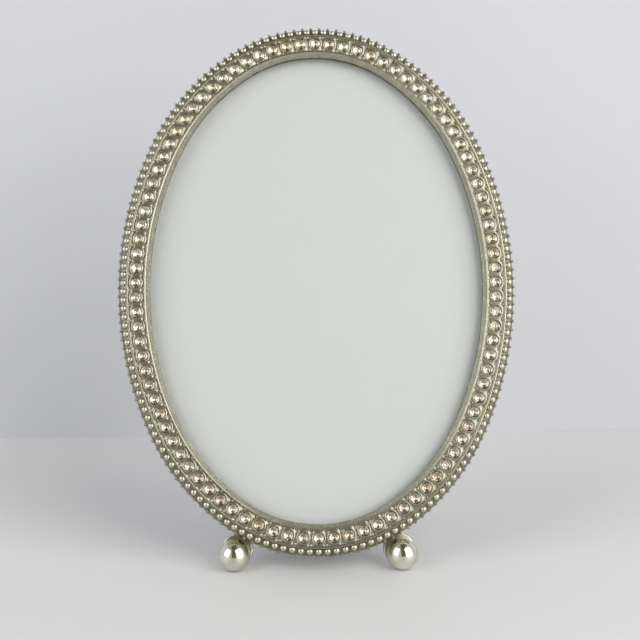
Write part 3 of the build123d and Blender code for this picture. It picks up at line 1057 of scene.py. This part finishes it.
def softened(node, name, rounding, segments):
    mesh = cadNodes[node].data.copy()
    mesh.name = name
    work = openMesh(mesh)
    bmesh.ops.remove_doubles(work, verts=work.verts, dist=shaping["sourceWeld"] * mm)
    flat = radians(shaping["flatWithin"])
    bmesh.ops.dissolve_limit(work, angle_limit=flat, verts=work.verts, edges=work.edges)
    limit = radians(shaping["sharpFrom"])
    edges = [edge for edge in work.edges if edge.is_manifold and edge.calc_face_angle(0) > limit]
    roundEdges(work, edges, rounding, segments)
    bmesh.ops.triangulate(work, faces=[face for face in work.faces if len(face.verts) > 4])
    for face in work.faces:
        face.smooth = True
    smoothBelow(work, shaping["smoothBelow"])
    mesh.materials.clear()
    return addObject(name, closeMesh(work, mesh))


for node, name, body, material, slotName, rounding, segments in softPieces:
    piece = softened(node, name, rounding, segments)
    piece.data.materials.append(material)
    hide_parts(node)
    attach(piece, body)

# Glass and photograph, a hair apart
plates = {
    "offset": 3.5,
    "rounding": 0.05,
    "pieces": [
        ("glassPlate", "glass_pane", 3.41, 5.37, paneGlass, "glass"),
        ("photoSheet", "photo_insert", 5.42, 5.69, photoPaper, "photo_paper"),
    ],
}
for name, node, plateFront, plateBack, material, slotName in plates["pieces"]:
    plate = ovalPlate(name, plates["offset"], plateFront, plateBack, plates["rounding"])
    plate.data.materials.append(material)
    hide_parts(node)
    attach(plate, "frame")

# Domed rivets and slotted screws
fasteners = {
    "rivetRadius": 0.9,
    "rivetHeadRadius": 1.7,
    "rivetHeadHeight": 0.5,
    "rivetSteps": 7,
    "rivetSides": 24,
    "baseRivetX": 7.0,
    "baseRivetY": 32.0,
    "baseRivetDepth": 10.0,
    "baseRivetLength": 4.3,
    "legSlope": 15.0,
    "legRivetDepth": 1.7,
    "legRivetDrops": [6.5, 13.5],
    "legRivetLength": 3.4,
    "screwRadius": 1.0,
    "screwLength": 4.5,
    "screwLift": 0.9,
    "screwTurns": [25, 100, -40, 60],
    "screwHeadRadius": 2.0,
    "screwHeadHeight": 1.0,
    "screwSides": 32,
    "screwRounding": 0.25,
    "slotWidth": 0.5,
    "slotDepth": 0.5,
    "slotSteps": 18,
}


def rivetCell(length):
    radius, height = fasteners["rivetHeadRadius"], fasteners["rivetHeadHeight"]
    head = domeOutline(radius, height, 0, fasteners["rivetSteps"])
    shank = [(fasteners["rivetRadius"], -length), (fasteners["rivetRadius"], 0)]
    return turned("rivet", shank + head, fasteners["rivetSides"])


def screwCell():
    # A round head in two halves, with the slot between them, over a disc and a shank
    radius = fasteners["screwHeadRadius"]
    floor = fasteners["screwHeadHeight"] - fasteners["slotDepth"]
    shank = fasteners["screwRadius"]
    outline = [(shank, -fasteners["screwLength"]), (shank, 0), (radius, 0), (radius, floor)]
    mesh = turned("screw", outline, fasteners["screwSides"])
    work = openMesh(mesh)
    halfSlot = asin(fasteners["slotWidth"] / 2 / radius)
    steps = fasteners["slotSteps"]
    for turn in (0, pi):
        points = []
        for step in range(steps + 1):
            angle = turn + halfSlot + (pi - 2 * halfSlot) * step / steps
            points.append((radius * cos(angle), radius * sin(angle), floor))
        top = raiseOutline(work, points, fasteners["slotDepth"])
        roundEdges(work, top, fasteners["screwRounding"])
    bmesh.ops.recalc_face_normals(work, faces=work.faces)
    smoothBelow(work, shaping["smoothBelow"])
    return closeMesh(work, mesh)


rear = -frontNormal
basePlaces = []
for side in (-1, 1):
    local = Vector(
        (side * fasteners["baseRivetX"], fasteners["baseRivetY"], -fasteners["baseRivetDepth"])
    )
    basePlaces.append((frontPlane @ (local * mm), rear, frontUp))
hinge = Vector(joints["easel_hinge"]["pos_m"])
legSlope = radians(fasteners["legSlope"])
legRear = Vector((0, cos(legSlope), sin(legSlope)))
legDown = Vector((0, sin(legSlope), -cos(legSlope)))
legPlaces = []
for drop in fasteners["legRivetDrops"]:
    point = hinge + legRear * fasteners["legRivetDepth"] * mm + legDown * drop * mm
    legPlaces.append((point, legRear, legDown))
screwPlaces = []
for number, turn in enumerate(fasteners["screwTurns"], 1):
    point = Vector(joints[f"turn_button_{number}_turn"]["pos_m"])
    slotWay = frontUp.copy()
    slotWay.rotate(Matrix.Rotation(radians(turn), 3, rear))
    screwPlaces.append((point + rear * fasteners["screwLift"] * mm, rear, slotWay))
baseRivet = rivetCell(fasteners["baseRivetLength"])
legRivet = rivetCell(fasteners["legRivetLength"])
for name, node, slotName, body, cell, places, material in (
    ("baseRivets", "base_rivets", "rivet_brass", "frame", baseRivet, basePlaces, rivetBrass),
    ("legRivets", "leg_rivets", "rivet_brass", "leg", legRivet, legPlaces, rivetBrass),
    ("buttonScrews", "button_screws", "screw_steel", "frame", screwCell(), screwPlaces, screwSteel),
):
    piece = placeCopies(name, cell, places, material)
    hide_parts(node)
    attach(piece, body)

for node in ("back_board", "easel_leg"):
    slots = cadNodes[node].data.materials
    slots.clear()
    slots.append(hardboard)
print("back ready")

# Table, wall and camera
stage = {
    "tableColour": (0.70, 0.70, 0.705, 1),
    "wallColour": (0.60, 0.605, 0.635, 1),
    "darkShare": 0.985,
    "tableRoughness": 0.45,
    "wallRoughness": 0.8,
    "wallDistance": 0.574,
    "wallTurn": 2.24,
    "wide": 1.6,
    "deep": 1.0,
    "high": 1.6,
}
view = {
    "distance": 0.400,
    "azimuth": -1.32,
    "elevation": 5.89,
    "focalPixels": 1115.0,
    "centreX": 317.0,  # where the middle of the frame's front lies in the picture
    "centreY": 282.1,
    "imagePixels": 640.0,
    "sensor": 36.0,
    "clipStart": 0.01,
}


def stageFinish(name, colour, roughness):
    f = Finish(name, Roughness=roughness)
    darker = tuple(channel * stage["darkShare"] for channel in colour[:3]) + (1,)
    f.tone(f.noise(6.0, Detail=3.0), darker, colour)
    return f


def addSheet(name, corners, finish):
    mesh = bpy.data.meshes.new(name)
    mesh.from_pydata(corners, [], [(0, 1, 2, 3)])
    mesh.materials.append(finish.material)
    piece = addObject(name, mesh)


def makeStage():
    azimuth = radians(view["azimuth"])
    elevation = radians(view["elevation"])
    direction = Vector(
        (sin(azimuth) * cos(elevation), -cos(azimuth) * cos(elevation), sin(elevation))
    )
    eye = frontCentre + direction * view["distance"]
    ahead = Vector((-sin(azimuth), cos(azimuth), 0))
    foot = Vector((eye.x, eye.y, 0)) + ahead * stage["wallDistance"]
    turn = radians(stage["wallTurn"])
    along = Vector((cos(turn), sin(turn), 0)) * stage["wide"]
    toward = Vector((sin(turn), -cos(turn), 0)) * stage["deep"]
    lift = Vector((0, 0, stage["high"]))
    left, right = foot - along, foot + along
    table = stageFinish("tableTop", stage["tableColour"], stage["tableRoughness"])
    addSheet("table", [left - toward, left + toward, right + toward, right - toward], table)
    # The camera sees through the wall from behind
    wall = stageFinish("wallPaint", stage["wallColour"], stage["wallRoughness"])
    wall.passThrough(wall.add("ShaderNodeNewGeometry").outputs["Backfacing"])
    addSheet("wall", [left, right, right + lift, left + lift], wall)
    return eye, direction


def makeCamera(eye, direction):
    data = bpy.data.cameras.new("camera")
    pixels = view["imagePixels"]
    data.sensor_width = view["sensor"]
    data.sensor_fit = "HORIZONTAL"
    data.lens = view["focalPixels"] / pixels * data.sensor_width
    data.clip_start = view["clipStart"]
    data.dof.use_dof = False
    camera = addObject("camera", data)
    camera.location = eye
    right = (-direction).cross(Vector((0, 0, 1))).normalized()
    up = right.cross(-direction)
    aside = (view["centreX"] - pixels / 2) / view["focalPixels"] * view["distance"]
    above = (pixels / 2 - view["centreY"]) / view["focalPixels"] * view["distance"]
    aim = frontCentre - right * aside - up * above
    camera.rotation_euler = (aim - eye).to_track_quat("-Z", "Y").to_euler()
    bpy.context.scene.camera = camera


makeCamera(*makeStage())

# Two windows and the room around them
lamps = {
    "aim": (0, 0, 0.08),
    # name, place, size, watts, colour
    "windows": [
        ("windowRight", (1.32, -1.24, 0.985), (1.75, 2.16), 37.4, (1.0, 0.985, 0.96)),
        ("windowLeft", (-1.55, -1.01, 0.985), (1.35, 1.75), 17.5, (0.95, 0.97, 1.0)),
    ],
}
room = {
    # share of the way from straight down to straight up, and the colour there
    "levels": [
        (0.45, (0.55, 0.55, 0.52, 1)), (0.52, (0.85, 0.86, 0.88, 1)),
        (0.72, (0.85, 0.86, 0.88, 1)), (0.84, (0.55, 0.55, 0.53, 1)),
    ],
    "patch": (0.15, 0.14, 0.08, 1),
    # where the dark patch begins and is full: aside, behind the piece and below the horizon
    "patchAside": (0.36, 0.20),
    "patchBehind": (0.6, 0.2),
    "patchBelow": (-0.12, 0.0),
    "seen": (0.86, 0.87, 0.89, 1),  # what the camera sees past the wall
    "strength": 0.8,
}


def makeLamps():
    for name, place, size, watts, colour in lamps["windows"]:
        data = bpy.data.lights.new(name, "AREA")
        data.shape = "RECTANGLE"
        data.size, data.size_y = size
        data.energy = watts
        data.color = colour
        lamp = addObject(name, data)
        lamp.location = place
        aim = Vector(lamps["aim"]) - Vector(place)
        lamp.rotation_euler = aim.to_track_quat("-Z", "Y").to_euler()


def makeWorld():
    # A pale room, darker below and in a patch in front of the piece
    world = bpy.data.worlds.new("room")
    bpy.context.scene.world = world
    world.use_nodes = True
    t = Nodes(world.node_tree)
    way = t.add("ShaderNodeTexCoord").outputs["Generated"]
    split = t.add("ShaderNodeSeparateXYZ", {"Vector": way}).outputs
    ramp = t.add("ShaderNodeValToRGB", {"Fac": t.spread(split["Z"], -1.0, 1.0)})
    while len(ramp.color_ramp.elements) < len(room["levels"]):
        ramp.color_ramp.elements.new(0.5)
    for element, (share, colour) in zip(ramp.color_ramp.elements, room["levels"]):
        element.position = share
        element.color = colour
    dark = 1.0
    for value, key in (
        (t.math("ABSOLUTE", split["X"]), "patchAside"),
        (split["Y"], "patchBehind"),
        (split["Z"], "patchBelow"),
    ):
        shade = t.spread(value, *room[key], interpolation_type="SMOOTHSTEP")
        dark = t.math("MULTIPLY", dark, shade)
    around = t.mix(dark, ramp.outputs["Color"], room["patch"])
    rays = t.add("ShaderNodeLightPath").outputs
    back = t.tree.nodes["Background"].inputs
    t.join(t.mix(rays["Is Camera Ray"], around, room["seen"]), back["Color"])
    t.join(room["strength"], back["Strength"])


makeLamps()
makeWorld()
bpy.context.scene.view_settings.view_transform = "Standard"
print("stage ready")
